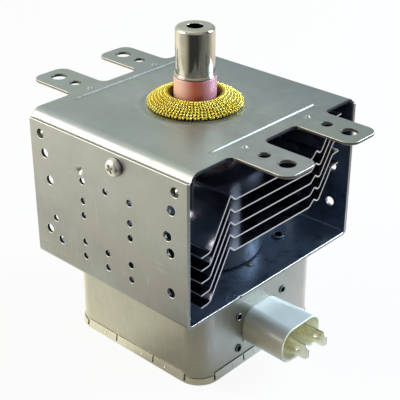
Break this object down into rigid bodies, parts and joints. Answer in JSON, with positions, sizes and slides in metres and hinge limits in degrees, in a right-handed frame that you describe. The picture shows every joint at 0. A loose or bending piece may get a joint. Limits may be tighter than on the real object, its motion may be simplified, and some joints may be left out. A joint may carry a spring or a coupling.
{
  "type": "magnetron",
  "caption": "Microwave oven magnetron: finned anode between ring magnets in a folded steel yoke, with capped antenna, knitted gasket, eared mounting plate and filter box with connector.",
  "frame": {"origin": "on the underside of the filter box's cover, below the antenna's axis", "axes": "+Z along the antenna, away from the filter box; +X across the yoke's two perforated walls; -Y towards the side that the connector faces"},
  "size_m": [0.1008, 0.1314, 0.1279],
  "materials": {
    "zinc_steel": "zinc-plated sheet, satin, faintly mottled",
    "plate_steel": "zinc-plated sheet, satin",
    "screw_steel": "bright zinc",
    "ferrite": "dark grey sintered ferrite, matte",
    "copper": "bare copper, satin",
    "seal_steel": "nickel-plated iron, satin",
    "pink_alumina": "pink alumina, dull satin",
    "white_alumina": "white alumina, matte",
    "cap_steel": "polished stainless steel",
    "tungsten": "dull grey refractory metal",
    "fin_aluminium": "mill finish aluminium sheet",
    "brass_wire": "knitted brass wire, bright",
    "tinned_steel": "tinned sheet, satin, slightly warm",
    "cream_plastic": "moulded cream plastic, semi-gloss",
    "brown_plastic": "moulded brown plastic, matte",
    "tab_brass": "tinned brass, satin"
  },
  "bodies": {
    "root": {"yoke": "zinc_steel", "mounting_plate": "plate_steel", "screw_left": "screw_steel", "screw_right": "screw_steel", "magnet_top": "ferrite", "magnet_bottom": "ferrite", "anode": "copper", "strap_inner_top": "copper", "strap_outer_top": "copper", "strap_inner_bottom": "copper", "strap_outer_bottom": "copper", "pole_piece_top": "seal_steel", "pole_piece_bottom": "seal_steel", "seal_shell_top": "seal_steel", "seal_shell_bottom": "seal_steel", "antenna_ceramic": "pink_alumina", "antenna_cap": "cap_steel", "exhaust_tube": "copper", "antenna_wire": "copper", "filament": "tungsten", "end_hat_top": "tungsten", "end_hat_bottom": "tungsten", "lead_centre": "tungsten", "lead_side": "tungsten", "stem_ceramic": "white_alumina", "fin_1": "fin_aluminium", "fin_2": "fin_aluminium", "fin_3": "fin_aluminium", "fin_4": "fin_aluminium", "fin_5": "fin_aluminium", "gasket": "brass_wire", "filter_box": "tinned_steel", "filter_cover": "tinned_steel", "box_rivet_1": "tinned_steel", "box_rivet_2": "tinned_steel", "box_rivet_3": "tinned_steel", "box_rivet_4": "tinned_steel", "eyelet_1": "tinned_steel", "eyelet_2": "tinned_steel", "eyelet_3": "tinned_steel", "eyelet_4": "tinned_steel", "connector_housing": "cream_plastic", "capacitor_carrier": "tinned_steel", "capacitor_case": "brown_plastic", "tab_left": "tab_brass", "tab_right": "tab_brass", "choke_left": "copper", "choke_left_core": "ferrite", "choke_right": "copper", "choke_right_core": "ferrite", "terminal_bar_left": "copper", "terminal_bar_right": "copper"}
  },
  "joints": []
}
